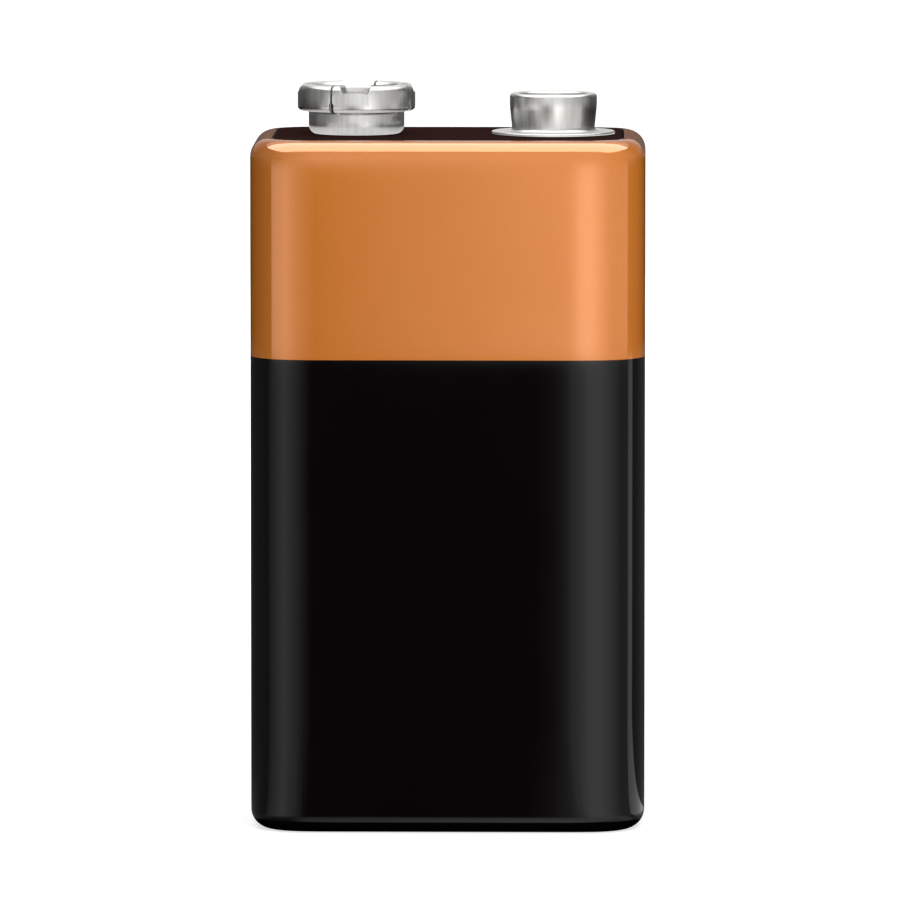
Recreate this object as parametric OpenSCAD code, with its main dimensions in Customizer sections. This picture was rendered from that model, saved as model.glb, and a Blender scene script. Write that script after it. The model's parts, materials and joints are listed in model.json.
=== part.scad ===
// Nine volt battery: six round cells in series, packed in a printed tinplate jacket. Millimetres.
// The origin is the middle of the base. +X points to the positive stud, and -Y out of the front face.

/* [Jacket] */
// Overall width of the jacket
case_w = 25.8; // [24.5:0.1:30]
// Overall depth of the jacket
case_d = 17; // [15.5:0.1:20]
// Height of the jacket, from the base to the crest of its top rim
case_h = 45.2; // [38:0.1:54]
// Radius of the four upright edges
corner_r = 3.6; // [2.7:0.1:4]
// Radius over which the sheet turns inwards at the top and at the base
shoulder_r = 1.2; // [1:0.05:1.3]
// Flat width of the turned-in rim, inside the shoulder
rim_flat = 0.2; // [0.15:0.05:0.5]
// Thickness of the tinplate
sheet_t = 0.25; // [0.2:0.01:0.3]
// Height of the line where the two printed colours meet
print_line = 31; // [20:0.5:36]
// Width of the seam line on the back face
seam_w = 0.16; // [0.1:0.01:0.3]
// Depth of the seam line
seam_depth = 0.12; // [0.05:0.01:0.15]
// Distance from the seam line to the middle of the back face
seam_offset = 7.6; // [0:0.1:8.6]

/* [Terminals] */
// Distance between the axes of the two terminals
terminal_pitch = 12.9; // [12:0.05:13.5]
// Distance that both terminals are set off the middle, towards the positive side
terminal_shift = 0.4; // [0:0.05:0.5]
// Thickness of the plated sheet that both terminals are drawn from
plate_t = 0.22; // [0.18:0.01:0.25]
// Diameter of the stud's head
stud_head_d = 5.72; // [5.6:0.01:5.8]
// Diameter of the stud's neck, just above its flange
stud_neck_d = 5.38; // [5.2:0.01:5.5]
// Height of the stud above the terminal board
stud_h = 2.7; // [2.3:0.05:3.3]
// Height of the straight band round the stud's head
stud_band_h = 0.6; // [0.4:0.05:0.8]
// Radius of the rolled edge on top of the stud
stud_edge_r = 0.24; // [0.15:0.01:0.25]
// Radius of the fillet between the stud's flange and its neck
stud_fillet_r = 0.3; // [0.1:0.05:0.4]
// Wall of the stud, whose sheet is folded double
stud_wall = 0.5; // [0.5:0.05:0.8]
// Width of the flange round the stud's neck
flange_brim = 1.35; // [0.8:0.05:1.6]
// Height of the socket above the terminal board
socket_h = 3.3; // [3:0.05:4]
// Bore of the throat, where the socket grips a stud
throat_d = 5.44; // [5.4:0.01:5.5]
// Clearance all round a stud's head, in the neck below the throat
head_gap = 0.06; // [0.04:0.01:0.1]
// Radius of the neck's rounded base
neck_base_r = 0.6; // [0.4:0.05:0.8]
// Height of the crown at the top of the socket
crown_h = 1.75; // [1.4:0.05:2]
// Space between the throat's wall and the crown's skirt
crown_gap = 0.7; // [0.5:0.05:0.9]
// Outer radius of the two folds on top of the crown
crown_fold_r = 0.4; // [0.3:0.05:0.45]
// Radius of the edge curled in at the foot of the crown
crown_curl_r = 0.3; // [0.25:0.05:0.4]
// Height over which the neck narrows to the throat
throat_taper = 0.4; // [0.3:0.05:0.5]
// Number of resilient petals round the crown
petals = 4; // [3:1:6]
// Width of the open notch between two petals, at its floor
notch_w = 1.6; // [1:0.1:2]
// Depth of the notch below the top of the crown
notch_h = 0.5; // [0.3:0.05:0.6]
// Width that each side of the notch gains towards its top
notch_flare = 0.25; // [0.1:0.05:0.4]
// Width of the slit beside each notch
slit_w = 0.16; // [0.1:0.01:0.25]
// Angle from the middle of a notch to its slit
slit_angle = 24; // [20:1:35]
// Width of the window at the foot of the slit
window_w = 0.3; // [0.2:0.02:0.4]
// Height of the window
window_h = 0.6; // [0.3:0.05:0.8]

/* [Eyelets] */
// Outer diameter of the eyelet's stem
eyelet_d = 2.2; // [1.8:0.1:2.6]
// Wall of the eyelet
eyelet_t = 0.25; // [0.2:0.01:0.3]
// Diameter of the eyelet's head
eyelet_head_d = 3.8; // [3.2:0.1:4]
// Diameter of the foot that is rolled over under the contact strip
eyelet_foot_d = 3.4; // [3:0.1:3.8]

/* [Boards] */
// Thickness of the terminal board, under the jacket's rim
board_t = 1.2; // [1:0.05:1.5]
// Height of the board's middle, which stands up inside the rim
board_step = 0.25; // [0.05:0.05:0.4]
// Width of the groove between the rim and the raised middle
board_groove = 0.15; // [0.1:0.05:0.3]
// Thickness of the base board
base_t = 1; // [0.8:0.05:1.5]
// Thickness of the card under the lower links
card_t = 0.4; // [0.3:0.05:0.8]
// Thickness of the paper liner round the cells
liner_t = 0.15; // [0.1:0.01:0.2]
// Width of the slit where the liner's two ends meet
liner_slit = 0.3; // [0.2:0.05:0.6]
// Height of the spacer frame between the cells and the terminal board
spacer_h = 2.6; // [2.2:0.1:4]
// Wall of the spacer frame
spacer_wall = 0.9; // [0.6:0.05:1.1]
// Width of the web across the middle of the spacer frame
web_w = 1.2; // [0.8:0.1:2]
// Clearance between the web and the links under it
web_gap = 0.3; // [0.1:0.05:0.6]

/* [Cells and links] */
// Space between two sleeved cells
cell_gap = 0.1; // [0.05:0.01:0.2]
// Thickness of a cell's sleeve
sleeve_t = 0.1; // [0.08:0.01:0.12]
// Width of the sleeve's lip over each end of the cell
sleeve_lip = 0.8; // [0.4:0.05:0.9]
// Radius of the can's two edges
can_edge_r = 0.35; // [0.2:0.05:0.5]
// Diameter of the positive nub
nub_d = 3.4; // [3:0.1:3.8]
// Height of the positive nub
nub_h = 0.6; // [0.5:0.05:0.8]
// Height of the negative cap's face over the crimped rim
cap_step = 0.16; // [0.13:0.01:0.25]
// Width of the crimped rim round the negative cap
crimp_w = 1; // [0.9:0.05:1.3]
// Distance from the crimped rim to the bead in the can
bead_z = 2.4; // [2:0.1:4]
// Depth of the bead
bead_depth = 0.2; // [0.1:0.02:0.3]
// Thickness of the links that join the cells
link_t = 0.15; // [0.1:0.01:0.2]
// Width of the links
link_w = 3.4; // [2.6:0.1:4]
// Length of the weld slot in each end of a link
weld_slot = 1.8; // [1:0.1:2.2]
// Width of the weld slot
weld_slot_w = 0.35; // [0.2:0.05:0.5]
// Thickness of the contact strips under the terminals
strip_t = 0.2; // [0.15:0.01:0.25]
// Width of the contact strips
strip_w = 3; // [2.6:0.1:3.4]
// Inner radius of the contact strips' bends
strip_bend_r = 0.25; // [0.15:0.05:0.4]

/* [Fits] */
// Clearance between pieces that slide into each other
fit_gap = 0.05; // [0.03:0.01:0.1]

/* [Hidden] */
$fn = 96;
COLUMNS = 3;
ROWS = 2;
CELLS = COLUMNS * ROWS;

PRINT_BLACK = "#161213";
PRINT_COPPER = "#c87a39";
BOARD_BROWN = "#2e211f";
NICKEL = "#c9cacb";
CAN_STEEL = "#b4b9bd";
LINK_NICKEL = "#d2d0c8";
SLEEVE_FILM = "#e6e4da";
CARD = "#b8a582";
PAPER = "#d8cba9";
FRAME_PLASTIC = "#3a3b3d";

// Heights of the stack, from the base upwards
base_z = sheet_t;
card_z = base_z + base_t;
base_link_z = card_z + card_t;
cells_z = base_link_z + link_t;
board_top = case_h - sheet_t;
board_z = board_top - board_t;
cells_top = board_z - spacer_h;
cell_h = cells_top - cells_z;
stack_z = board_z - strip_t;
seat_z = board_top + board_step;
frame_z = cells_top - cap_step + sleeve_t;

// The room in the jacket, the bay that the liner leaves in it, and the cells that fill the bay
room_w = case_w - 2 * (sheet_t + fit_gap);
room_d = case_d - 2 * (sheet_t + fit_gap);
room_r = corner_r - sheet_t - fit_gap;
bay_w = room_w - 2 * liner_t;
bay_d = room_d - 2 * liner_t;
bay_r = room_r - liner_t;
pitch_x = bay_w / COLUMNS;
pitch_y = bay_d / ROWS;
sleeve_r = (min(pitch_x, pitch_y) - cell_gap) / 2;
can_gap = 0.02;
can_r = sleeve_r - sleeve_t - can_gap;

// The terminals' own radii
rim_w = shoulder_r + rim_flat;
stud_head_r = stud_head_d / 2;
stud_neck_r = stud_neck_d / 2;
throat_r = throat_d / 2;
neck_in_r = stud_head_r + head_gap;
neck_r = neck_in_r + plate_t;
crown_r = throat_r + 2 * plate_t + crown_gap;
crown_z = socket_h - crown_h;

// The cells stand in a chain that turns back at each end of a row, so each link joins two neighbours
function cell_column(i) = floor(i / ROWS);
function cell_row(i) = (i + cell_column(i)) % ROWS;
function cell_x(i) = (cell_column(i) - (COLUMNS - 1) / 2) * pitch_x;
function cell_y(i) = (cell_row(i) - (ROWS - 1) / 2) * pitch_y;
function nub_up(i) = i % 2 == 1;

// The axis of a terminal: side is -1 for the negative one and 1 for the positive one
function terminal_x(side) = terminal_shift + side * terminal_pitch / 2;

// A quarter of a disc, in the first quadrant
module quarter(r) {
    intersection() {
        circle(r);
        square(r);
    }
}

// A quarter of a ring, in the first quadrant
module quarter_ring(outer, inner) {
    difference() {
        quarter(outer);
        circle(inner);
    }
}

// Half of a section: a rectangle from the axis out to r, with its two outer corners rounded
module rounded_half(r, h, edge) {
    square([r - edge, h]);
    translate([0, edge]) square([r, h - 2 * edge]);
    translate([r - edge, h - edge]) quarter(edge);
    translate([r - edge, edge]) mirror([0, 1]) quarter(edge);
}

// Half of a section with only its upper corner rounded
module rounded_top(r, h, edge) {
    square([r - edge, h]);
    square([r, h - edge]);
    translate([r - edge, h - edge]) quarter(edge);
}

// What a rounded edge takes away from a wall that stands at x = 0 and ends at z = r
module inner_round(r) {
    difference() {
        square(r);
        translate([r, 0]) circle(r);
    }
}

// A rectangle with rounded corners, centred
module rounded_rect(w, d, r) {
    square([w - 2 * r, d], center = true);
    square([w, d - 2 * r], center = true);
    for (sx = [-1, 1], sy = [-1, 1])
        translate([sx * (w / 2 - r), sy * (d / 2 - r)]) circle(r);
}

// Carries a section round a rounded rectangle. The section's x runs outwards from the corners' centres.
module carry_round(w, d, r) {
    run_x = w / 2 - r;
    run_y = d / 2 - r;
    for (turn = [0, 180])
        rotate(turn) {
            translate([run_x, run_y]) rotate_extrude(angle = 90) children();
            translate([-run_x, run_y]) rotate(90) rotate_extrude(angle = 90) children();
            translate([run_x, run_y]) rotate([90, 0, 0]) linear_extrude(2 * run_y) children();
            translate([-run_x, run_y]) rotate([90, 0, 90]) linear_extrude(2 * run_x) children();
        }
}

// Section of the jacket: one sheet, turned inwards over a shoulder at the top and at the base
module jacket_section() {
    difference() {
        rounded_half(corner_r, case_h, shoulder_r);
        translate([0, sheet_t])
            rounded_half(corner_r - sheet_t, case_h - 2 * sheet_t, shoulder_r - sheet_t);
        square([corner_r - rim_w, case_h]);
    }
}

// Hairline groove of the lapped seam, which runs up the back face and over both shoulders
module seam_line() {
    translate([seam_offset - seam_w / 2, case_d / 2 - corner_r, 0]) rotate([90, 0, 90])
        linear_extrude(seam_w) difference() {
            translate([0, -1]) square([corner_r + 1, case_h + 2]);
            translate([0, seam_depth])
                rounded_half(corner_r - seam_depth, case_h - 2 * seam_depth, shoulder_r - seam_depth);
        }
}

// The jacket between two heights, so that each printed field takes its own colour
module jacket_field(low, high) {
    difference() {
        carry_round(case_w, case_d, corner_r) intersection() {
            jacket_section();
            translate([0, low]) square([corner_r, high - low]);
        }
        seam_line();
    }
}

module jacket() {
    color(PRINT_BLACK) jacket_field(0, print_line);
    color(PRINT_COPPER) jacket_field(print_line, case_h);
}

// Holes for the two eyelets' stems
module stem_holes(low, high) {
    for (side = [-1, 1])
        translate([terminal_x(side), 0, low]) cylinder(h = high - low, r = eyelet_d / 2 + fit_gap);
}

// Board that fills the jacket between two heights, against the rims and clear of the walls
module room_board(low, high) {
    carry_round(room_w, room_d, room_r) intersection() {
        translate([0, sheet_t]) rounded_half(room_r, case_h - 2 * sheet_t, shoulder_r - sheet_t);
        translate([0, low]) square([room_r, high - low]);
    }
    translate([room_r - room_w / 2, room_r - room_d / 2, low])
        cube([room_w - 2 * room_r, room_d - 2 * room_r, high - low]);
}

// Board under the rim, with a middle that stands up inside it
module terminal_board() {
    inset = rim_w + board_groove;
    color(BOARD_BROWN) difference() {
        union() {
            room_board(board_z, board_top);
            translate([0, 0, board_z]) linear_extrude(board_t + board_step)
                rounded_rect(case_w - 2 * inset, case_d - 2 * inset, corner_r - inset);
        }
        stem_holes(board_z - 1, seat_z + 1);
    }
}

module base_board() {
    color(BOARD_BROWN) room_board(base_z, card_z);
}

// Section of the socket: floor, round-based neck, narrower throat, and a crown folded outwards and down
module socket_section() {
    fold = crown_fold_r;
    curl = crown_curl_r;
    taper_top = crown_z + throat_taper;
    // Floor, rounded base of the neck, and the neck
    square([neck_r - neck_base_r, plate_t]);
    translate([neck_r - neck_base_r, neck_base_r])
        mirror([0, 1]) quarter_ring(neck_base_r, neck_base_r - plate_t);
    translate([neck_in_r, neck_base_r]) square([plate_t, crown_z - neck_base_r]);
    // Taper from the neck to the throat, and the throat
    polygon([[neck_in_r, crown_z], [neck_r, crown_z], [throat_r + plate_t, taper_top], [throat_r, taper_top]]);
    translate([throat_r, taper_top]) square([plate_t, socket_h - fold - taper_top]);
    // Crown: inner fold, flat top, outer fold, skirt and curled edge
    translate([throat_r + fold, socket_h - fold]) mirror([1, 0]) quarter_ring(fold, fold - plate_t);
    translate([throat_r + fold, socket_h - plate_t]) square([crown_r - throat_r - 2 * fold, plate_t]);
    translate([crown_r - fold, socket_h - fold]) quarter_ring(fold, fold - plate_t);
    translate([crown_r - plate_t, crown_z + curl]) square([plate_t, socket_h - fold - crown_z - curl]);
    translate([crown_r - curl, crown_z + curl]) mirror([0, 1]) quarter_ring(curl, curl - plate_t);
}

// Open notch between two petals, cut outwards along +X
module crown_notch() {
    floor_z = socket_h - notch_h;
    half = notch_w / 2;
    top = notch_h + 1;
    flare = notch_flare * top / notch_h;
    rotate([90, 0, 90]) linear_extrude(crown_r + 1)
        polygon([[-half, floor_z], [half, floor_z], [half + flare, floor_z + top], [-half - flare, floor_z + top]]);
}

// Slit beside a notch, wider at its foot, cut outwards along +X
module crown_slit() {
    translate([0, -slit_w / 2, crown_z + throat_taper]) cube([crown_r + 1, slit_w, crown_h]);
    translate([neck_r, -slit_w / 2, crown_z - 1]) cube([crown_r, slit_w, crown_h]);
    translate([neck_r, -window_w / 2, crown_z - 1]) cube([crown_r, window_w, window_h + 1]);
}

module negative_socket() {
    color(NICKEL) translate([terminal_x(-1), 0, seat_z]) difference() {
        rotate_extrude() difference() {
            socket_section();
            square([eyelet_d / 2 + fit_gap, plate_t]);
        }
        for (petal = [0 : petals - 1])
            rotate(petal * 360 / petals - 90) {
                crown_notch();
                rotate(-slit_angle) crown_slit();
            }
    }
}

// Section of the stud: floor, flange, neck that widens to the head, and a crater inside
module stud_section() {
    neck_z = plate_t + stud_fillet_r;
    band_top = stud_h - stud_edge_r;
    band_z = band_top - stud_band_h;
    crater_r = stud_neck_r - stud_wall;
    flange_r = stud_neck_r + flange_brim;
    difference() {
        union() {
            square([flange_r - plate_t / 2, plate_t]);
            translate([flange_r - plate_t / 2, plate_t / 2]) circle(plate_t / 2);
            square([stud_neck_r, neck_z]);
            difference() {
                translate([stud_neck_r, plate_t]) square(stud_fillet_r);
                translate([stud_neck_r + stud_fillet_r, neck_z]) circle(stud_fillet_r);
            }
            polygon([[0, neck_z], [stud_neck_r, neck_z], [stud_head_r, band_z], [0, band_z]]);
            translate([0, band_z]) rounded_top(stud_head_r, stud_band_h + stud_edge_r, stud_edge_r);
        }
        translate([0, plate_t]) square([crater_r, stud_h]);
        square([eyelet_d / 2 + fit_gap, plate_t]);
        translate([crater_r, band_top]) inner_round(stud_edge_r);
    }
}

module positive_stud() {
    color(NICKEL) translate([terminal_x(1), 0, seat_z]) rotate_extrude() stud_section();
}

// Eyelet: a tube with a wide head over the terminal's floor and a foot rolled over under the strip
module eyelet(side) {
    bore = eyelet_d / 2 - eyelet_t;
    head_z = seat_z + plate_t;
    foot_z = stack_z - eyelet_t;
    translate([terminal_x(side), 0, 0]) rotate_extrude() difference() {
        union() {
            translate([0, foot_z]) square([eyelet_d / 2, head_z - foot_z]);
            translate([0, head_z]) rounded_half(eyelet_head_d / 2, eyelet_t, eyelet_t / 3);
            translate([0, foot_z]) rounded_half(eyelet_foot_d / 2, eyelet_t, eyelet_t / 3);
        }
        translate([0, foot_z]) square([bore, head_z - foot_z + eyelet_t]);
        translate([bore, head_z]) inner_round(eyelet_t);
    }
}

module negative_eyelet() {
    color(NICKEL) eyelet(-1);
}

module positive_eyelet() {
    color(NICKEL) eyelet(1);
}

// Side view of a contact strip: it leaves the board, turns down, and lies on the end of a cell
module strip_side(reach) {
    outer = strip_bend_r + strip_t;
    drop_x = reach / 2;
    foot_x = drop_x + outer;
    translate([0, stack_z]) square([drop_x + strip_t - outer, strip_t]);
    translate([drop_x + strip_t - outer, board_z - outer]) quarter_ring(outer, strip_bend_r);
    translate([drop_x, cells_top + outer]) square([strip_t, board_z - cells_top - 2 * outer]);
    translate([foot_x, cells_top + outer]) rotate(180) quarter_ring(outer, strip_bend_r);
    translate([foot_x, cells_top]) square([reach - foot_x, strip_t]);
}

// Contact strip from a terminal's axis to the middle of cell i, with a hole for the eyelet's stem
module contact_strip(side, i) {
    run = [cell_x(i) - terminal_x(side), cell_y(i)];
    reach = norm(run);
    color(LINK_NICKEL) translate([terminal_x(side), 0, 0]) rotate(atan2(run.y, run.x)) difference() {
        union() {
            translate([0, strip_w / 2, 0]) rotate([90, 0, 0]) linear_extrude(strip_w) strip_side(reach);
            translate([0, 0, stack_z]) cylinder(h = strip_t, r = strip_w / 2);
            translate([reach, 0, cells_top]) cylinder(h = strip_t, r = strip_w / 2);
        }
        translate([0, 0, stack_z - 1]) cylinder(h = strip_t + 2, r = eyelet_d / 2 + fit_gap);
    }
}

module negative_strip() {
    contact_strip(-1, 0);
}

module positive_strip() {
    contact_strip(1, CELLS - 1);
}

// Moulded frame that keeps the terminal board off the cells, with a web that bridges the upper links
module spacer_frame() {
    frame_w = bay_w - 2 * fit_gap;
    frame_d = bay_d - 2 * fit_gap;
    frame_r = bay_r - fit_gap;
    frame_h = board_z - frame_z;
    web_lift = link_t + web_gap;
    color(FRAME_PLASTIC) translate([0, 0, frame_z]) {
        linear_extrude(frame_h) difference() {
            rounded_rect(frame_w, frame_d, frame_r);
            rounded_rect(frame_w - 2 * spacer_wall, frame_d - 2 * spacer_wall, frame_r - spacer_wall);
        }
        translate([-web_w / 2, -frame_d / 2 + spacer_wall / 2, web_lift])
            cube([web_w, frame_d - spacer_wall, frame_h - web_lift]);
    }
}

// Paper liner between the cells and the jacket, with its two ends meeting on the back
module liner() {
    color(PAPER) translate([0, 0, card_z]) linear_extrude(board_z - card_z) difference() {
        rounded_rect(room_w, room_d, room_r);
        rounded_rect(bay_w, bay_d, bay_r);
        translate([0, room_d / 2]) square([liner_slit, room_d / 2], center = true);
    }
}

module base_card() {
    color(CARD) translate([0, 0, card_z]) linear_extrude(card_t)
        rounded_rect(bay_w - 2 * fit_gap, bay_d - 2 * fit_gap, bay_r - fit_gap);
}

// Puts a piece drawn with its negative end at z = 0 in the place and sense of cell i
module at_cell(i) {
    translate([cell_x(i), cell_y(i), nub_up(i) ? cells_z : cells_top])
        mirror([0, 0, nub_up(i) ? 0 : 1]) children();
}

// Sealed round cell: crimped rim and flat cap at the negative end, and a nub at the other
module cell(i) {
    can_h = cell_h - nub_h - cap_step;
    bead_r = bead_depth * 1.5;
    color(CAN_STEEL) at_cell(i) rotate_extrude() {
        rounded_half(can_r - crimp_w, cap_step + can_edge_r, cap_step / 2);
        difference() {
            translate([0, cap_step]) rounded_half(can_r, can_h, can_edge_r);
            translate([can_r + bead_r - bead_depth, cap_step + bead_z]) circle(bead_r);
        }
        translate([0, cell_h - nub_h - can_edge_r])
            rounded_half(nub_d / 2, nub_h + can_edge_r, nub_h / 3);
    }
}

// Insulating sleeve shrunk on a cell, with a lip over each end
module cell_sleeve(i) {
    can_h = cell_h - nub_h - cap_step;
    color(SLEEVE_FILM) at_cell(i) rotate_extrude() difference() {
        translate([0, cap_step - sleeve_t])
            rounded_half(sleeve_r, can_h + 2 * sleeve_t, can_edge_r + sleeve_t);
        translate([0, cap_step]) rounded_half(can_r + can_gap, can_h, can_edge_r);
        square([can_r - sleeve_lip, cell_h]);
    }
}

// Nickel link between two cells, drawn along +X from the first one's axis, with a weld slot at each end
module link(reach) {
    linear_extrude(link_t) difference() {
        union() {
            translate([0, -link_w / 2]) square([reach, link_w]);
            for (x = [0, reach]) translate([x, 0]) circle(link_w / 2);
        }
        for (x = [0, reach]) translate([x, 0]) square([weld_slot, weld_slot_w], center = true);
    }
}

// Link under the two cells of a column
module base_link(i) {
    color(LINK_NICKEL)
        translate([cell_x(ROWS * i), -pitch_y / 2, base_link_z]) rotate(90) link(pitch_y);
}

// Link over two cells side by side, from one column to the next
module top_link(i) {
    first = ROWS * i + 1;
    color(LINK_NICKEL) translate([cell_x(first), cell_y(first), cells_top]) link(pitch_x);
}

jacket();
terminal_board();
base_board();
negative_socket();
positive_stud();
negative_eyelet();
positive_eyelet();
negative_strip();
positive_strip();
spacer_frame();
liner();
base_card();
for (i = [0 : CELLS - 1]) {
    cell(i);
    cell_sleeve(i);
}
for (i = [0 : COLUMNS - 1])
    base_link(i);
for (i = [0 : COLUMNS - 2])
    top_link(i);
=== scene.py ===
# %% [markdown]
# # A nine volt battery, dressed for its picture
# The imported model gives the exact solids. This script builds the visible pieces again with mesh operators, gives
# every piece a finish that starts from the real material, and sets up the camera and a small photo studio.
# Sizes are written in millimetres, as on a drawing, and turned to metres when a piece is finished.

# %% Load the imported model
import json
from math import cos, pi, radians, sin, tau

import bmesh
import bpy
from mathutils import Matrix, Vector


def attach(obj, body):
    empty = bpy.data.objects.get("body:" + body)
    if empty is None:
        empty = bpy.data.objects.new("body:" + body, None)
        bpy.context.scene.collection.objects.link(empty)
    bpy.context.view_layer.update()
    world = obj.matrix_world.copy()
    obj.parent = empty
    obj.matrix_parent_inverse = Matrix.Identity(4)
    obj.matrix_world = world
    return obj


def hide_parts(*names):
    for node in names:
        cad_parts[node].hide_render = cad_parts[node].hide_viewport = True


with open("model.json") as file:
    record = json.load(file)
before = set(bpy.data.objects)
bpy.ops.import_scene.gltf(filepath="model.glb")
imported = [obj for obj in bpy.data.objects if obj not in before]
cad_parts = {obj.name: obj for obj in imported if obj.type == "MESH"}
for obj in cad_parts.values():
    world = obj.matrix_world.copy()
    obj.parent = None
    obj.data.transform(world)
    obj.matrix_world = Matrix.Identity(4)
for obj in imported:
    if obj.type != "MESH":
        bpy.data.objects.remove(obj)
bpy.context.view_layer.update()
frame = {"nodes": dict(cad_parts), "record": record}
MM = 0.001
print("nodes in the frame:", len(frame["nodes"]))

# %% [markdown]
# ## The camera
# The picture is taken from 0.7 m with a long lens, almost straight from the front and five degrees above the middle
# of the block. The lens could be set by eye, but known sizes (the width of the jacket, the height of its rim and the
# ovals of the terminals) fix the angle and the focal length together, once a distance is chosen.

# %% Camera
CAMERA_DISTANCE = 0.7
CAMERA_AZIMUTH = radians(1.05)
CAMERA_ELEVATION = radians(5.38)
BLOCK_MIDDLE = Vector((0, 0, 24.25 * MM))
AIM = Vector((0.075 * MM, 0, 24.36 * MM))

camera_data = bpy.data.cameras.new("camera")
camera_data.lens = 425.7
camera_data.sensor_width = 36
camera_data.clip_start = 0.01
camera_data.clip_end = 10
camera = bpy.data.objects.new("camera", camera_data)
bpy.context.scene.collection.objects.link(camera)
camera.location = BLOCK_MIDDLE + CAMERA_DISTANCE * Vector((
    sin(CAMERA_AZIMUTH) * cos(CAMERA_ELEVATION),
    -cos(CAMERA_AZIMUTH) * cos(CAMERA_ELEVATION),
    sin(CAMERA_ELEVATION),
))
camera.rotation_euler = (AIM - camera.location).to_track_quat("-Z", "Y").to_euler()
bpy.context.scene.camera = camera
bpy.context.scene.view_settings.view_transform = "Standard"
print("camera at", [round(c / MM, 1) for c in camera.location], "mm")

# %% [markdown]
# ## Colours and nodes
# A colour picker shows sRGB values, while a shader wants linear light, so one function turns a hex value into
# linear numbers. One more function adds a node, with its settings and with its sockets filled or linked.

# %% Two helpers for materials
def linear(hex_colour):
    """sRGB hex such as #c87a39 as linear RGBA."""
    channels = [int(hex_colour[i:i + 2], 16) / 255 for i in (1, 3, 5)]
    return [c / 12.92 if c <= 0.04045 else ((c + 0.055) / 1.055) ** 2.4 for c in channels] + [1]


def add(tree, kind, inputs=None, **settings):
    """A new node. inputs gives each socket's value, or the socket that it is linked to."""
    made = tree.nodes.new(kind)
    for name, value in settings.items():
        setattr(made, name, value)
    for key, value in (inputs or {}).items():
        if isinstance(value, bpy.types.NodeSocket):
            tree.links.new(value, made.inputs[key])
        else:
            made.inputs[key].default_value = value
    return made


def new_material(name):
    """An empty node material, its tree and its Object coordinates."""
    material = bpy.data.materials.new(name)
    material.use_nodes = True
    tree = material.node_tree
    tree.nodes.clear()
    place = add(tree, "ShaderNodeTexCoord").outputs["Object"]
    return material, tree, place


def finish_material(tree, shader, normal=None):
    """Puts a bump on the shader and sends it to the output."""
    if normal:
        tree.links.new(normal.outputs["Normal"], shader.inputs["Normal"])
    add(tree, "ShaderNodeOutputMaterial", {"Surface": shader.outputs["BSDF"]})


def per_mm(size):
    """Texture scale at which one feature is size millimetres wide."""
    return 1 / (size * MM)


print("copper ink in linear light:", [round(c, 3) for c in linear("#c87a39")])

# %% [markdown]
# ## Printed tinplate
# The jacket is tinplate, printed flat before it is folded: a black field below, a copper-coloured field above,
# and a clear lacquer over both. The copper is a metallic ink, tiny metal flakes in a tinted binder. A pure metal
# would mirror too much and a plain paint would look dead, so the ink is part metal, part paint, under a coat.
# The lacquer gives both fields the same crisp gloss, with a faint unevenness that shows only in reflections.

# %% Copper ink under lacquer
PRINT_LINE = 31.0

copper_print, tree, place = new_material("copper_ink_lacquered_tinplate")
flakes = add(tree, "ShaderNodeTexNoise", {"Vector": place, "Scale": per_mm(0.16), "Detail": 2.0})
clouds = add(tree, "ShaderNodeTexNoise", {"Vector": place, "Scale": per_mm(6), "Detail": 3.0})
blend = add(tree, "ShaderNodeMath", {0: flakes.outputs["Fac"], 1: clouds.outputs["Fac"]}, operation="MULTIPLY")
ink = add(tree, "ShaderNodeMix", {
    "Factor": blend.outputs["Value"], 6: linear("#e58531"), 7: linear("#f09443")}, data_type="RGBA")
grain = add(tree, "ShaderNodeMapRange", {"Value": flakes.outputs["Fac"], "To Min": 0.07, "To Max": 0.11})
peel = add(tree, "ShaderNodeTexNoise", {"Vector": place, "Scale": per_mm(2.2), "Detail": 2.0})
skin = add(tree, "ShaderNodeBump", {"Height": peel.outputs["Fac"], "Strength": 0.02, "Distance": 0.05 * MM})
shader = add(tree, "ShaderNodeBsdfPrincipled", {
    "Base Color": ink.outputs[2], "Metallic": 0.15, "Roughness": grain.outputs["Result"],
    "Specular IOR Level": 0.0, "Coat Weight": 1.0, "Coat Roughness": 0.05, "Coat IOR": 1.6})
finish_material(tree, shader, skin)

# %% Black ink under lacquer
black_print, tree, place = new_material("black_ink_lacquered_tinplate")
clouds = add(tree, "ShaderNodeTexNoise", {"Vector": place, "Scale": per_mm(5), "Detail": 3.0})
ink = add(tree, "ShaderNodeMix", {
    "Factor": clouds.outputs["Fac"], 6: linear("#070304"), 7: linear("#0b0607")}, data_type="RGBA")
peel = add(tree, "ShaderNodeTexNoise", {"Vector": place, "Scale": per_mm(2.2), "Detail": 2.0})
skin = add(tree, "ShaderNodeBump", {"Height": peel.outputs["Fac"], "Strength": 0.02, "Distance": 0.05 * MM})
gloss = add(tree, "ShaderNodeMapRange", {"Value": clouds.outputs["Fac"], "To Min": 0.04, "To Max": 0.07})
shader = add(tree, "ShaderNodeBsdfPrincipled", {
    "Base Color": ink.outputs[2], "Metallic": 0.0, "Roughness": gloss.outputs["Result"], "IOR": 1.5})
finish_material(tree, shader, skin)

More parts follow.
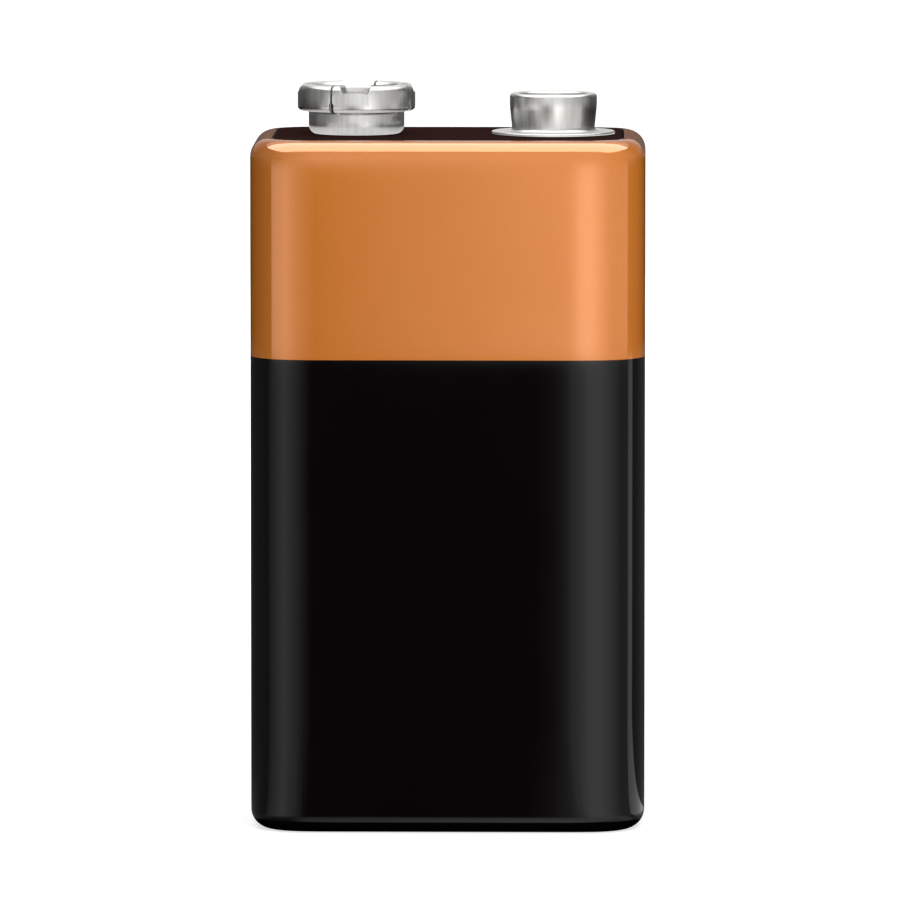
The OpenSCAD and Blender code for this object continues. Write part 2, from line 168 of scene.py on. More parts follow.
# %% Bare tinplate
bare_tinplate, tree, place = new_material("bare_rolled_tinplate")
stretch = add(tree, "ShaderNodeMapping", {"Vector": place, "Scale": (1.0, 1.0, 0.05)})
rolling = add(tree, "ShaderNodeTexNoise", {"Vector": stretch.outputs["Vector"], "Scale": per_mm(0.3), "Detail": 3.0})
tone = add(tree, "ShaderNodeMix", {
    "Factor": rolling.outputs["Fac"], 6: linear("#b9bcbf"), 7: linear("#cfd1d3")}, data_type="RGBA")
wear = add(tree, "ShaderNodeMapRange", {"Value": rolling.outputs["Fac"], "To Min": 0.3, "To Max": 0.45})
shader = add(tree, "ShaderNodeBsdfPrincipled", {
    "Base Color": tone.outputs[2], "Metallic": 1.0, "Roughness": wear.outputs["Result"]})
finish_material(tree, shader)

# %% [markdown]
# ## Nickel plate
# Both terminals are deep drawn from brass or steel strip and then plated with bright nickel. The die leaves fine
# upright draw lines on the walls, and handling takes the edge off the shine.

# %% Drawn nickel plate
nickel, tree, place = new_material("drawn_nickel_plate")
stretch = add(tree, "ShaderNodeMapping", {"Vector": place, "Scale": (1.0, 1.0, 0.08)})
draw = add(tree, "ShaderNodeTexNoise", {"Vector": stretch.outputs["Vector"], "Scale": per_mm(0.25), "Detail": 3.0})
tone = add(tree, "ShaderNodeMix", {
    "Factor": draw.outputs["Fac"], 6: linear("#c4c3bf"), 7: linear("#dedddb")}, data_type="RGBA")
gloss = add(tree, "ShaderNodeMapRange", {"Value": draw.outputs["Fac"], "To Min": 0.2, "To Max": 0.3})
facing = add(tree, "ShaderNodeSeparateXYZ", {"Vector": add(tree, "ShaderNodeNewGeometry").outputs["Normal"]})
scuffs = add(tree, "ShaderNodeMapRange", {
    "Value": facing.outputs["Z"], "From Min": 0.7, "From Max": 0.95, "To Min": 0.0, "To Max": 0.25})
gloss = add(tree, "ShaderNodeMath", {0: gloss.outputs["Result"], 1: scuffs.outputs["Result"]}, operation="ADD")
skin = add(tree, "ShaderNodeBump", {"Height": draw.outputs["Fac"], "Strength": 0.05, "Distance": 0.003 * MM})
shader = add(tree, "ShaderNodeBsdfPrincipled", {
    "Base Color": tone.outputs[2], "Metallic": 1.0, "Roughness": gloss.outputs["Value"]})
finish_material(tree, shader, skin)

# %% [markdown]
# ## Finishing a piece
# Every piece ends the same way: it is scaled from millimetres to metres, its faces are smooth up to the edges that
# turn sharply, and its normals are weighted by face area, so that a large flat face stays flat beside a small
# round one. Then the piece is tied to the model: it rides on the body, and it replaces its node.

# %% Helper that finishes a piece
SHARP = radians(32)


def outline(bm, points, closed=True):
    """Vertices and edges through the points (x, z), in the plane y = 0."""
    corners = [bm.verts.new((x, 0, z)) for x, z in points]
    followers = corners[1:] + corners[:1] if closed else corners[1:]
    for a, b in zip(corners, followers):
        bm.edges.new((a, b))
    return corners


def round_corner(bm, corner, radius, segments=6):
    """Rounds one corner of an outline. The radius is measured along both sides."""
    bmesh.ops.bevel(bm, geom=[corner], offset=radius, offset_type="OFFSET", affect="VERTICES",
                    segments=segments, profile=0.5, material=-1, clamp_overlap=False)


def turn_round(bm, steps=128):
    """Turns an outline once round the Z axis."""
    bmesh.ops.spin(bm, geom=bm.verts[:] + bm.edges[:], cent=(0, 0, 0), axis=(0, 0, 1), dvec=(0, 0, 0),
                   angle=tau, steps=steps, use_merge=True, use_duplicate=False)
    bmesh.ops.remove_doubles(bm, verts=bm.verts[:], dist=1e-5)
    bmesh.ops.recalc_face_normals(bm, faces=bm.faces[:])


def finish_piece(bm, name, materials, node):
    """Makes the mesh a piece of the model that stands for a CAD node."""
    bmesh.ops.scale(bm, vec=(MM, MM, MM), verts=bm.verts[:])
    mesh = bpy.data.meshes.new(name)
    for face in bm.faces:
        face.smooth = True
    for edge in bm.edges:
        edge.smooth = not edge.is_manifold or edge.calc_face_angle(0) < SHARP
    bm.to_mesh(mesh)
    bm.free()
    for material in materials:
        mesh.materials.append(material)
    piece = bpy.data.objects.new(name, mesh)
    bpy.context.scene.collection.objects.link(piece)
    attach(piece, "root")
    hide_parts(node)
    print(name, "has", len(mesh.polygons), "faces")
    return piece


def weigh_normals(piece):
    normals = piece.modifiers.new("flat faces stay flat", "WEIGHTED_NORMAL")
    normals.keep_sharp = True


# %% [markdown]
# ## The jacket
# On the real block one sheet is wrapped round the cells, lapped on the back, and rolled inwards over the boards at
# both ends. Here an outline of the block is rounded, softened a little where flat and corner meet, drawn up to its
# height, and rolled over at both ends. A pure arc would meet the flat face with a jump in curvature, which the
# gloss would show as a hard line of light.

# %% Jacket outline
CASE_W, CASE_D, CASE_H = 25.8, 17.0, 45.2
CORNER_R = 3.6
SHOULDER_R = 1.2
RIM_FLAT = 0.2
SHEET_T = 0.25

bm = bmesh.new()
bmesh.ops.create_grid(bm, x_segments=1, y_segments=1, size=0.5)
bmesh.ops.scale(bm, vec=(CASE_W, CASE_D, 1), verts=bm.verts[:])
bmesh.ops.bevel(bm, geom=bm.verts[:], offset=CORNER_R, offset_type="OFFSET", affect="VERTICES",
                segments=24, profile=0.5, material=-1)
flats = [e for e in bm.edges if e.calc_length() > 2 * CORNER_R]
bmesh.ops.subdivide_edges(bm, edges=flats, cuts=48)
for _ in range(30):
    bmesh.ops.smooth_vert(bm, verts=bm.verts[:], factor=0.5, use_axis_x=True, use_axis_y=True)
width = max(v.co.x for v in bm.verts) * 2
depth = max(v.co.y for v in bm.verts) * 2
bmesh.ops.scale(bm, vec=(CASE_W / width, CASE_D / depth, 1), verts=bm.verts[:])
print("outline lost", round(CASE_W - width, 4), "mm to softening, with", len(bm.verts), "points")

# %% Jacket walls and shoulders
floor_face = bm.faces[:]
raised = bmesh.ops.extrude_face_region(bm, geom=floor_face, use_keep_orig=True)
lid = [g for g in raised["geom"] if isinstance(g, bmesh.types.BMVert)]
bmesh.ops.translate(bm, vec=(0, 0, CASE_H), verts=lid)
bmesh.ops.recalc_face_normals(bm, faces=bm.faces[:])
ends = [f for f in bm.faces if abs(f.normal.z) > 0.9]
rims = list({e for f in ends for e in f.edges})
bmesh.ops.bevel(bm, geom=rims, offset=SHOULDER_R, offset_type="OFFSET", affect="EDGES",
                segments=10, profile=0.5, material=-1, clamp_overlap=False)
ends = [f for f in bm.faces if len(f.verts) > 8]
bmesh.ops.inset_region(bm, faces=ends, thickness=RIM_FLAT, use_even_offset=True)
bmesh.ops.delete(bm, geom=ends, context="FACES_ONLY")
bmesh.ops.bisect_plane(bm, geom=bm.verts[:] + bm.edges[:] + bm.faces[:], plane_co=(0, 0, PRINT_LINE),
                       plane_no=(0, 0, 1), dist=1e-5)
for face in bm.faces:
    face.material_index = 1 if face.calc_center_median().z > PRINT_LINE else 0
print("jacket skin:", len(bm.faces), "faces")

# %% [markdown]
# The seam is a hairline step that runs up the back. Two cuts mark its sides, and the strip between them is set
# into the sheet. The wall gets its thickness first, so that the inside stays smooth.

# %% Jacket seam and wall
SEAM_X, SEAM_W, SEAM_DEPTH = 7.6, 0.16, 0.12

outer = bm.faces[:]
wall = bmesh.ops.solidify(bm, geom=outer, thickness=SHEET_T)
inner = {g for g in wall["geom"] if isinstance(g, bmesh.types.BMFace)}
for face in bm.faces:
    if face in inner or face not in set(outer):
        face.material_index = 2
for side in (-1, 1):
    near = [f for f in bm.faces if f.material_index < 2 and f.calc_center_median().y > 3]
    bmesh.ops.bisect_plane(bm, geom=near + list({e for f in near for e in f.edges}) + list({v for f in near for v in f.verts}),
                           plane_co=(SEAM_X + side * SEAM_W / 2, 0, 0), plane_no=(1, 0, 0), dist=1e-5)
strip = [f for f in bm.faces if f.material_index < 2 and f.calc_center_median().y > 3
         and abs(f.calc_center_median().x - SEAM_X) < SEAM_W / 2]
bmesh.ops.inset_region(bm, faces=strip, thickness=0.0, depth=-SEAM_DEPTH, use_even_offset=True)
print("seam strip:", len(strip), "faces")
jacket = finish_piece(bm, "jacket_shell", [black_print, copper_print, bare_tinplate], "jacket")
weigh_normals(jacket)

# %% [markdown]
# ## The socket
# The wide terminal is one sheet: a floor, a round-based neck, a narrower throat that grips the stud, and a crown
# folded outwards and down. It is easiest to draw the middle of the sheet as one line, round its bends, turn it
# round the axis, cut the petals, and only then give the sheet its thickness.

# %% Socket body
TERMINAL_Z = 45.2
NEGATIVE_X, POSITIVE_X = -6.05, 6.85
PLATE_T = 0.22
STEM_HOLE_R = 1.15
NECK_R, THROAT_R, CROWN_R = 3.03, 2.83, 3.75
CROWN_Z, SOCKET_H = 1.55, 3.3

bm = bmesh.new()
line = outline(bm, [
    (STEM_HOLE_R, PLATE_T / 2), (NECK_R, PLATE_T / 2), (NECK_R, CROWN_Z), (THROAT_R, CROWN_Z + 0.4),
    (THROAT_R, SOCKET_H - PLATE_T / 2), (CROWN_R, SOCKET_H - PLATE_T / 2), (CROWN_R, CROWN_Z + PLATE_T / 2),
    (CROWN_R - 0.19, CROWN_Z + PLATE_T / 2)], closed=False)
for number, radius in ((1, 0.49), (4, 0.29), (5, 0.29), (6, 0.18)):
    round_corner(bm, line[number], radius)
turn_round(bm)
print("socket surface:", len(bm.faces), "faces")

# %% [markdown]
# Four open notches divide the crown into petals, and beside each notch a fine slit with a small window at its foot
# lets the petal spring. Each is cut in the same way: planes mark its sides, and the faces between them go.

# %% Notches and slits in the crown
PETALS = 4
NOTCH_HALF, NOTCH_FLOOR, NOTCH_FLARE = 0.8, SOCKET_H - 0.5, 0.5
SLIT_HALF, WINDOW_HALF, WINDOW_TOP = 0.08, 0.15, CROWN_Z + 0.6
SLIT_ANGLE = radians(24)
THROAT_TOP = CROWN_Z + 0.4


def sector(bm, turn, reach, low):
    """Faces above a height that lie within reach of the direction that turn gives."""
    ahead = Vector((cos(turn), sin(turn), 0))
    beside = Vector((-sin(turn), cos(turn), 0))
    found = []
    for face in bm.faces:
        middle = face.calc_center_median()
        if middle.dot(ahead) > 1 and abs(middle.dot(beside)) < reach and middle.z > low:
            found.append((face, middle.dot(beside), middle.xy.length, middle.z))
    return found, ahead, beside


def cut(bm, turn, reach, low, co, no):
    """Marks a plane on the sector's faces. The plane is given in the sector's own directions."""
    found, ahead, beside = sector(bm, turn, reach, low)
    faces = [row[0] for row in found]
    own = Matrix((ahead, beside, Vector((0, 0, 1)))).transposed()
    geom = faces + list({e for f in faces for e in f.edges}) + list({v for f in faces for v in f.verts})
    bmesh.ops.bisect_plane(bm, geom=geom, plane_co=own @ Vector(co), plane_no=own @ Vector(no), dist=1e-5)


for petal in range(PETALS):
    turn = petal * tau / PETALS - pi / 2
    cut(bm, turn, 2.0, THROAT_TOP, (0, 0, NOTCH_FLOOR), (0, 0, 1))
    for side in (-1, 1):
        cut(bm, turn, 2.0, NOTCH_FLOOR, (0, side * NOTCH_HALF, NOTCH_FLOOR), (0, side, -NOTCH_FLARE))
    found = sector(bm, turn, 2.0, NOTCH_FLOOR)[0]
    gone = [f for f, beside, _, z in found if abs(beside) < NOTCH_HALF + (z - NOTCH_FLOOR) * NOTCH_FLARE]
    bmesh.ops.delete(bm, geom=gone, context="FACES")
    turn -= SLIT_ANGLE
    for half in (-WINDOW_HALF, -SLIT_HALF, SLIT_HALF, WINDOW_HALF):
        cut(bm, turn, 0.6, CROWN_Z - 0.2, (0, half, 0), (0, 1, 0))
    for level in (THROAT_TOP, WINDOW_TOP):
        cut(bm, turn, 0.6, CROWN_Z - 0.2, (0, 0, level), (0, 0, 1))
    found = sector(bm, turn, 0.6, CROWN_Z - 0.2)[0]
    gone = [f for f, beside, r, z in found
            if (abs(beside) < SLIT_HALF and (z > THROAT_TOP or r > NECK_R + 0.15))
            or (abs(beside) < WINDOW_HALF and z < WINDOW_TOP and r > NECK_R + 0.15)]
    bmesh.ops.delete(bm, geom=gone, context="FACES")
bmesh.ops.translate(bm, vec=(NEGATIVE_X, 0, TERMINAL_Z), verts=bm.verts[:])
socket = finish_piece(bm, "socket_terminal", [nickel], "negative_socket")
sheet = socket.modifiers.new("sheet", "SOLIDIFY")
sheet.thickness = PLATE_T * MM
sheet.offset = 0
sheet.use_even_offset = True
edge = socket.modifiers.new("sheared edge", "BEVEL")
edge.width = 0.03 * MM
edge.segments = 2
edge.limit_method = "ANGLE"
edge.angle_limit = radians(50)
weigh_normals(socket)

# %% [markdown]
# ## The stud
# The narrow terminal has a flange, a neck that widens to the head, and a crater where the sheet folds back on
# itself. Its walls are double, so it is drawn as one closed outline, and each bend gets its own radius.

# %% Stud
HEAD_R, STUD_NECK_R, FLANGE_R, CRATER_R = 2.86, 2.69, 4.04, 2.19
STUD_H, BAND_H, EDGE_R, FILLET_R = 2.7, 0.6, 0.24, 0.3

bm = bmesh.new()
line = outline(bm, [
    (STEM_HOLE_R, 0), (FLANGE_R, 0), (FLANGE_R, PLATE_T), (STUD_NECK_R, PLATE_T),
    (HEAD_R, STUD_H - EDGE_R - BAND_H), (HEAD_R, STUD_H), (CRATER_R, STUD_H), (CRATER_R, PLATE_T),
    (STEM_HOLE_R, PLATE_T)])
for number, radius in ((1, 0.1), (2, 0.1), (3, FILLET_R), (4, 0.25), (5, EDGE_R), (6, EDGE_R), (7, 0.2)):
    round_corner(bm, line[number], radius)
turn_round(bm)
bmesh.ops.translate(bm, vec=(POSITIVE_X, 0, TERMINAL_Z), verts=bm.verts[:])
stud = finish_piece(bm, "stud_terminal", [nickel], "positive_stud")
weigh_normals(stud)

# %% [markdown]
# ## The eyelets
# A tubular rivet clenches each terminal to the board. Its head can be seen inside the socket and the stud.

# %% Eyelets
EYELET_R, BORE_R, EYELET_T = 1.1, 0.85, 0.25
HEAD_Z, FOOT_Z = TERMINAL_Z + PLATE_T, 43.75 - 0.2 - EYELET_T

for sign, axis_x in (("negative", NEGATIVE_X), ("positive", POSITIVE_X)):
    bm = bmesh.new()
    line = outline(bm, [
        (BORE_R, FOOT_Z), (1.7, FOOT_Z), (1.7, FOOT_Z + EYELET_T), (EYELET_R, FOOT_Z + EYELET_T),
        (EYELET_R, HEAD_Z), (1.9, HEAD_Z), (1.9, HEAD_Z + EYELET_T), (BORE_R, HEAD_Z + EYELET_T)])
    for number, radius in ((1, 0.08), (2, 0.08), (5, 0.08), (6, 0.08), (7, 0.24)):
        round_corner(bm, line[number], radius)
    turn_round(bm, 64)
    bmesh.ops.translate(bm, vec=(axis_x, 0, 0), verts=bm.verts[:])
    rivet = finish_piece(bm, sign + "_rivet", [nickel], sign + "_eyelet")
    weigh_normals(rivet)

# %% [markdown]
# ## Boards and what is inside
# The two boards are dark laminated paper board, punched to shape. The cells, their sleeves, the links, the frame and
# the paper liner can't be seen in the closed block, but they have their real finishes too.

# %% Laminated board
board, tree, place = new_material("laminated_paper_board")
fibres = add(tree, "ShaderNodeTexNoise", {"Vector": place, "Scale": per_mm(0.35), "Detail": 5.0, "Roughness": 0.65})
tone = add(tree, "ShaderNodeMix", {
    "Factor": fibres.outputs["Fac"], 6: linear("#251817"), 7: linear("#462e2a")}, data_type="RGBA")
skin = add(tree, "ShaderNodeBump", {"Height": fibres.outputs["Fac"], "Strength": 0.3, "Distance": 0.03 * MM})
dull = add(tree, "ShaderNodeMapRange", {"Value": fibres.outputs["Fac"], "To Min": 0.6, "To Max": 0.85})
shader = add(tree, "ShaderNodeBsdfPrincipled", {
    "Base Color": tone.outputs[2], "Roughness": dull.outputs["Result"], "Specular IOR Level": 0.0})
finish_material(tree, shader, skin)

# %% Inner finishes
# name, slots, dark and light tone, metallic, least and most roughness, feature in mm, stretch along x y z, bump in mm
INNER = [
    ("nickel_strip", "contact_nickel", "#b9b7ae", "#d6d4cc", 1.0, 0.28, 0.42, 0.2, (1, 1, 1), 0.004),
    ("drawn_plated_steel_can", "can_steel", "#a9aeb2", "#c3c8cb", 1.0, 0.22, 0.38, 0.3, (1, 1, 0.06), 0.004),
    ("shrink_film", "sleeve_film", "#dcdacf", "#efeee7", 0.0, 0.25, 0.4, 1.2, (1, 1, 0.4), 0.02),
    ("moulded_polypropylene", "frame_plastic", "#303133", "#434446", 0.0, 0.4, 0.55, 0.25, (1, 1, 1), 0.01),
    ("kraft_paper", "liner_paper", "#c9bb96", "#e0d4b4", 0.0, 0.75, 0.92, 0.5, (1, 1, 0.3), 0.03),
    ("pressed_card", "insulating_card", "#a8946f", "#c4b28f", 0.0, 0.75, 0.9, 0.6, (0.4, 1, 1), 0.03),
]
inner_finishes = {"terminal_board": board}
for name, slot, dark, light, metallic, smooth, rough, feature, stretch, depth in INNER:
    material, tree, place = new_material(name)
    turned = add(tree, "ShaderNodeMapping", {"Vector": place, "Scale": stretch})
    grain = add(tree, "ShaderNodeTexNoise", {
        "Vector": turned.outputs["Vector"], "Scale": per_mm(feature), "Detail": 4.0, "Roughness": 0.6})
    tone = add(tree, "ShaderNodeMix", {
        "Factor": grain.outputs["Fac"], 6: linear(dark), 7: linear(light)}, data_type="RGBA")
    gloss = add(tree, "ShaderNodeMapRange", {"Value": grain.outputs["Fac"], "To Min": smooth, "To Max": rough})
    skin = add(tree, "ShaderNodeBump", {"Height": grain.outputs["Fac"], "Strength": 0.4, "Distance": depth * MM})
    shader = add(tree, "ShaderNodeBsdfPrincipled", {
        "Base Color": tone.outputs[2], "Metallic": metallic, "Roughness": gloss.outputs["Result"]})
    finish_material(tree, shader, skin)
    inner_finishes[slot] = material

for row in frame["record"]["subparts"]:
    if row["material_slot"] in inner_finishes:
        for place_in_list in frame["nodes"][row["node"]].material_slots:
            place_in_list.material = inner_finishes[row["material_slot"]]

# %% [markdown]
# ## Floor and background
# The block stands on a white table in front of a white wall. For the camera both are plain white, and the floor
# still darkens where the block shades it.

# %% Floor
bm = bmesh.new()
bmesh.ops.create_grid(bm, x_segments=1, y_segments=1, size=0.5)
bmesh.ops.scale(bm, vec=(5, 5, 1), verts=bm.verts[:])
mesh = bpy.data.meshes.new("floor")
bm.to_mesh(mesh)
bm.free()
table_top, tree, place = new_material("white_table")
grain = add(tree, "ShaderNodeTexNoise", {"Vector": place, "Scale": per_mm(3), "Detail": 2.0})
tone = add(tree, "ShaderNodeMix", {
    "Factor": grain.outputs["Fac"], 6: linear("#e9e9e9"), 7: linear("#efefef")}, data_type="RGBA")
path = add(tree, "ShaderNodeLightPath")
seen = add(tree, "ShaderNodeMath", {
    0: path.outputs["Is Camera Ray"], 1: path.outputs["Is Glossy Ray"]}, operation="MAXIMUM")
seen = add(tree, "ShaderNodeMath", {
    0: seen.outputs["Value"], 1: path.outputs["Is Transmission Ray"]}, operation="MAXIMUM")
away = add(tree, "ShaderNodeVectorMath", {0: place}, operation="LENGTH")
fade = add(tree, "ShaderNodeMapRange", {
    "Value": away.outputs["Value"], "From Min": 0.03, "From Max": 0.25, "To Min": 0.7, "To Max": 1.0})
glow = add(tree, "ShaderNodeMath", {0: seen.outputs["Value"], 1: fade.outputs["Result"]}, operation="MULTIPLY")
shader = add(tree, "ShaderNodeBsdfPrincipled", {
    "Base Color": tone.outputs[2], "Roughness": 0.9, "Specular IOR Level": 0.0,
    "Emission Color": (1, 1, 1, 1), "Emission Strength": glow.outputs["Value"]})
finish_material(tree, shader)
mesh.materials.append(table_top)
floor = bpy.data.objects.new("floor", mesh)
bpy.context.scene.collection.objects.link(floor)

# %% World
world = bpy.data.worlds.new("white_studio")
bpy.context.scene.world = world
world.use_nodes = True
tree = world.node_tree
tree.nodes.clear()
AMBIENT = 0.2
path = add(tree, "ShaderNodeLightPath")
seen = add(tree, "ShaderNodeMath", {
    0: path.outputs["Is Camera Ray"], 1: path.outputs["Is Glossy Ray"]}, operation="MAXIMUM")
seen = add(tree, "ShaderNodeMath", {
    0: seen.outputs["Value"], 1: path.outputs["Is Transmission Ray"]}, operation="MAXIMUM")
level = add(tree, "ShaderNodeMapRange", {"Value": seen.outputs["Value"], "To Min": AMBIENT, "To Max": 1.0})
light = add(tree, "ShaderNodeBackground", {"Color": (1, 1, 1, 1), "Strength": level.outputs["Result"]})
add(tree, "ShaderNodeOutputWorld", {"Surface": light.outputs["Background"]})

# %% [markdown]
# ## Softboxes
# One soft lamp stands close in front and a little to the right, which makes the copper brighten towards that side.
# Large, weak ones stand on either side, behind and above. They could also be lamps that the gloss mirrors, but then
# each would leave a window shape on the sheet, so mirror reflections don't see them. The exception is the wide
# overhead lamp: it is there only to draw the bright line along the jacket's shoulder, so it lights the jacket alone
# and only in mirror reflections. A lamp's strength is worked out from the brightness that its face should have.

# %% Softboxes
def softbox(name, place, target, width, height, brightness, glossy=False):
    """A rectangular lamp that faces the target. brightness is the radiance of its face."""
    lamp = bpy.data.lights.new(name, "AREA")
    lamp.shape = "RECTANGLE"
    lamp.size, lamp.size_y = width, height
    lamp.energy = brightness * pi * width * height
    box = bpy.data.objects.new(name, lamp)
    bpy.context.scene.collection.objects.link(box)
    box.location = place
    box.rotation_euler = (Vector(target) - Vector(place)).to_track_quat("-Z", "Y").to_euler()
    box.visible_camera = False
    box.visible_glossy = glossy
    print(name, "gives", round(lamp.energy, 2), "W")
    return box


def round_the_block(azimuth, distance, height):
    """A place at an azimuth from the front, positive to the right."""
    return Vector((sin(radians(azimuth)) * distance, -cos(radians(azimuth)) * distance, height))


softbox("front_softbox", round_the_block(20, 0.075, 0.056), (0.002, 0, 0.04), 0.05, 0.07, 2.6)
softbox("left_softbox", round_the_block(-60, 0.4, 0.2), (0, 0, 0.05), 0.4, 0.36, 0.15)
softbox("right_softbox", round_the_block(75, 0.4, 0.2), (0, 0, 0.05), 0.4, 0.36, 0.12)
softbox("back_softbox", round_the_block(180, 0.4, 0.2), (0, 0, 0.05), 0.4, 0.36, 1.0)
softbox("top_softbox", (0, 0, 0.4), (0, 0, 0), 0.4, 0.36, 1.2)
overhead = softbox("overhead_softbox", (0, -0.02, 0.3), (0, -0.02, 0), 0.6, 0.36, 4.2, glossy=True)
weaker = softbox("terminals_softbox", (0, -0.02, 0.3), (0, -0.02, 0), 0.6, 0.36, 1.3, glossy=True)
for lamp, lit_pieces in ((overhead, [jacket]), (weaker, [socket, stud])):
    lamp.visible_diffuse = False
    receivers = bpy.data.collections.new("lit_by_the_" + lamp.name)
    for piece in lit_pieces:
        receivers.objects.link(piece)
    lamp.light_linking.receiver_collection = receivers

# %% [markdown]
# ## The reflection screen
# Gloss and metal show what stands round them, so a product photographer builds the reflections on purpose. Here one
# screen is wrapped round the block, at the same distance from its outline everywhere. It is dark in front, so that
# the flat face stays deep black, brighter towards the corners, and dark again behind them, which gives each corner
# one clean band of light. Only mirror reflections see it, and it throws no light and no shadow. Its brightness is a
# short list of azimuths for each level: one round the foot, one that the black field mirrors, one that the copper
# mirrors, and two for the terminals, which look over the lower part. Azimuth 0 is the front, -90 the left side.

# %% Reflection screen
BASE_GLOW = [(-180, 0.1), (-20, 0.1), (-1, 0.5), (1, 0.8), (60, 0.6), (80, 0.1), (181, 0.1)]
BLACK_GLOW = [(-180, 0.02), (-130, 0.05), (-83, 0.1), (-80, 0.2), (-43, 0.75), (-22, 0.42), (-8, 0.03), (0.5, 0.02),
              (0.7, 0.08), (0.9, 0.25), (1, 0.45), (10, 0.95), (24, 1.0), (50, 0.6), (68, 0.28), (88, 0.25), (90, 0.9),
              (93, 0.9), (95, 0.1), (130, 0.1), (180, 0.02), (180.3, 0.7), (180.7, 0.3), (181, 0.02)]
COPPER_GLOW = [(-180, 0.0), (-130, 0.0), (-74, 0.03), (-73, 1.0), (-60, 1.3), (-38, 1.4), (-15, 0.5), (-5, 0.08),
               (-1, 0.15), (0, 0.65), (0.6, 0.95), (0.9, 1.1), (0.97, 1.25), (1, 1.35), (4, 2.1), (8, 2.35),
               (13, 2.25), (25, 1.5), (42, 0.9), (61, 0.8), (86, 0.9), (88, 0.02), (130, 0.0), (180, 0.0),
               (180.3, 0.7), (180.7, 0.3), (181, 0.0)]
METAL_GLOW = [(-180, 1.4), (-179.2, 1.4), (-178.6, 0.1), (-110, 0.1), (-90, 0.25), (-67, 0.3), (-44, 0.55),
              (-24, 0.75), (-4, 1.1), (16, 1.1), (36, 0.8), (57, 0.65), (82, 0.5), (110, 0.1), (178.6, 0.1),
              (179.2, 1.4), (181, 1.4)]
TOP_GLOW = [(-180, 0.65), (-150, 0.3), (-110, 0.1), (-90, 0.25), (-67, 0.3), (-44, 0.55), (-24, 0.75), (-4, 1.1),
            (16, 1.1), (36, 0.8), (57, 0.65), (82, 0.5), (110, 0.1), (150, 0.3), (180, 0.65), (181, 0.65)]
SCREEN_GAP = 60.0


def glow_at(knots, azimuth):
    """Brightness at an azimuth, on straight lines between the knots."""
    for (a, low), (b, high) in zip(knots, knots[1:]):
        if a <= azimuth <= b:
            return low + (high - low) * (azimuth - a) / (b - a)


def beside_outline(azimuth, gap, z):
    """The place in metres at a distance from the block's outline, in the direction of the azimuth.
    The flat front is passed between azimuth -1 and 1, and the flat back between 180 and 181."""
    across, along = sin(radians(min(azimuth, 180))), -cos(radians(min(azimuth, 180)))
    side = max(-1, min(1, azimuth)) if azimuth <= 180 else 361 - 2 * azimuth
    corner = Vector(((CASE_W / 2 - CORNER_R) * side,
                     (CASE_D / 2 - CORNER_R) * (1 if along > 0 else -1), 0))
    return (corner + Vector((across, along, 0)) * (CORNER_R + gap) + Vector((0, 0, z))) * MM


stops = sorted({a for a, _ in BASE_GLOW + BLACK_GLOW + COPPER_GLOW + METAL_GLOW + TOP_GLOW} | set(range(-177, 180, 6))
               | {-90.01, 90.01})
bm = bmesh.new()
azimuth_layer = bm.verts.layers.float.new("azimuth")
glow_layer = bm.verts.layers.float.new("glow")
for azimuth in stops:
    vert = bm.verts.new(beside_outline(azimuth, 0.5, 0.02))
    vert[azimuth_layer] = azimuth
    vert[glow_layer] = glow_at(BASE_GLOW, azimuth)
bm.verts.ensure_lookup_table()
ring = [bm.edges.new(pair) for pair in zip(bm.verts, bm.verts[1:])]
for gap, z, knots in ((1.2, 0.02, BASE_GLOW), (5, 0.02, BLACK_GLOW), (SCREEN_GAP, 0.02, BLACK_GLOW),
                      (SCREEN_GAP, 25.8, BLACK_GLOW), (SCREEN_GAP, 26.1, COPPER_GLOW), (SCREEN_GAP, 39.5, COPPER_GLOW),
                      (SCREEN_GAP, 40, METAL_GLOW), (SCREEN_GAP, 53.2, METAL_GLOW), (SCREEN_GAP, 53.8, TOP_GLOW),
                      (SCREEN_GAP, 97, TOP_GLOW)):
    grown = bmesh.ops.extrude_edge_only(bm, edges=ring)["geom"]
    ring = [g for g in grown if isinstance(g, bmesh.types.BMEdge)
            and all(v in set(grown) for v in g.verts)]
    for vert in {v for e in ring for v in e.verts}:
        vert.co = beside_outline(vert[azimuth_layer], gap, z)
        vert[glow_layer] = glow_at(knots, vert[azimuth_layer])
mesh = bpy.data.meshes.new("reflection_screen")
bm.to_mesh(mesh)
bm.free()
# The screen and the board card glow, though they are no lamps: their emission is painted reflection, its brightness
# set by the glow lists.
painted_reflection_glow, tree, place = new_material("painted_reflection_glow")
painted = add(tree, "ShaderNodeAttribute", attribute_name="glow")
glow = add(tree, "ShaderNodeEmission", {"Color": (1, 1, 1, 1), "Strength": painted.outputs["Fac"]})
add(tree, "ShaderNodeOutputMaterial", {"Surface": glow.outputs["Emission"]})
painted_reflection_glow.cycles.emission_sampling = "NONE"
mesh.materials.append(painted_reflection_glow)
screen = bpy.data.objects.new("reflection_screen", mesh)
bpy.context.scene.collection.objects.link(screen)
screen.visible_camera = False
screen.visible_diffuse = False
screen.visible_transmission = False
screen.visible_shadow = False
print("screen:", len(mesh.polygons), "faces, brightness up to", max(k[1] for k in COPPER_GLOW + METAL_GLOW))
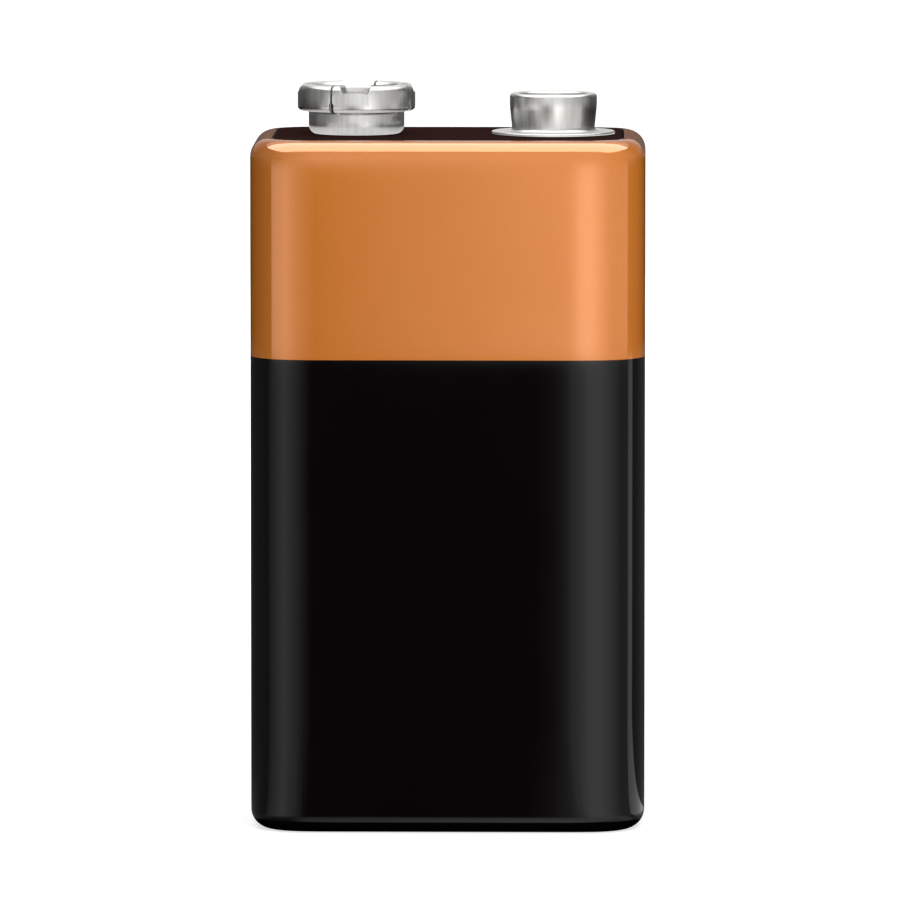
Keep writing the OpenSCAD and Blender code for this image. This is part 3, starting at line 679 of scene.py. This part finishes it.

# %% [markdown]
# The foot of the neck and the stud's tapered wall look down on the dark board. A glowing card laid there, for mirror
# reflections alone, paints a pale reflection on them that keeps them from going black, and its dark patch paints the
# shaded left side of the stud.

# %% Board card
BOARD_GLOW = [(-11.4, 0.5), (-8, 0.9), (-4, 0.9), (-2, 0.5), (-0.5, 0.05), (2.2, 0.05), (3.2, 0.4), (4.2, 0.55),
              (5.2, 0.75), (6.3, 1.2), (8.3, 1.2), (10, 1.0), (11.4, 1.0)]
bm = bmesh.new()
glow_layer = bm.verts.layers.float.new("glow")
for across, brightness in BOARD_GLOW:
    half_depth = 5.0 if across in (BOARD_GLOW[0][0], BOARD_GLOW[-1][0]) else 6.5
    vert = bm.verts.new((across * MM, -half_depth * MM, (TERMINAL_Z + 0.05) * MM))
    vert[glow_layer] = brightness
bm.verts.ensure_lookup_table()
ring = [bm.edges.new(pair) for pair in zip(bm.verts, bm.verts[1:])]
for grown in bmesh.ops.extrude_edge_only(bm, edges=ring)["geom"]:
    if isinstance(grown, bmesh.types.BMVert):
        grown.co.y = -grown.co.y
mesh = bpy.data.meshes.new("board_card")
bm.to_mesh(mesh)
bm.free()
mesh.materials.append(painted_reflection_glow)
board_card = bpy.data.objects.new("board_card", mesh)
bpy.context.scene.collection.objects.link(board_card)
board_card.visible_camera = False
board_card.visible_diffuse = False
board_card.visible_transmission = False
board_card.visible_shadow = False

# %% [markdown]
# A black sheet lies under the block, again for mirror reflections alone. It is painted shade: the dark line where the
# rounded base edge meets the table, which a real block shows because it shades its own foot.

# %% Black sheet of painted shade under the block
# Painted shade: a near-black sheet that mirror reflections show as the dark line at the foot.
foot_shade_paint, tree, place = new_material("painted_foot_shade")
speck = add(tree, "ShaderNodeTexNoise", {"Vector": place, "Scale": per_mm(2)})
tone = add(tree, "ShaderNodeMix", {
    "Factor": speck.outputs["Fac"], 6: linear("#050505"), 7: linear("#0a0a0a")}, data_type="RGBA")
shader = add(tree, "ShaderNodeBsdfPrincipled", {
    "Base Color": tone.outputs[2], "Roughness": 0.9, "Specular IOR Level": 0.0})
finish_material(tree, shader)
bm = bmesh.new()
bmesh.ops.create_grid(bm, x_segments=1, y_segments=1, size=0.5)
bmesh.ops.scale(bm, vec=((CASE_W + 1) * MM, (CASE_D + 1) * MM, 1), verts=bm.verts[:])
bmesh.ops.translate(bm, vec=(0, 0, 0.02 * MM), verts=bm.verts[:])
mesh = bpy.data.meshes.new("shade_sheet_under_foot")
bm.to_mesh(mesh)
bm.free()
mesh.materials.append(foot_shade_paint)
card = bpy.data.objects.new("shade_sheet_under_foot", mesh)
bpy.context.scene.collection.objects.link(card)
card.visible_camera = False
card.visible_diffuse = False
card.visible_shadow = False
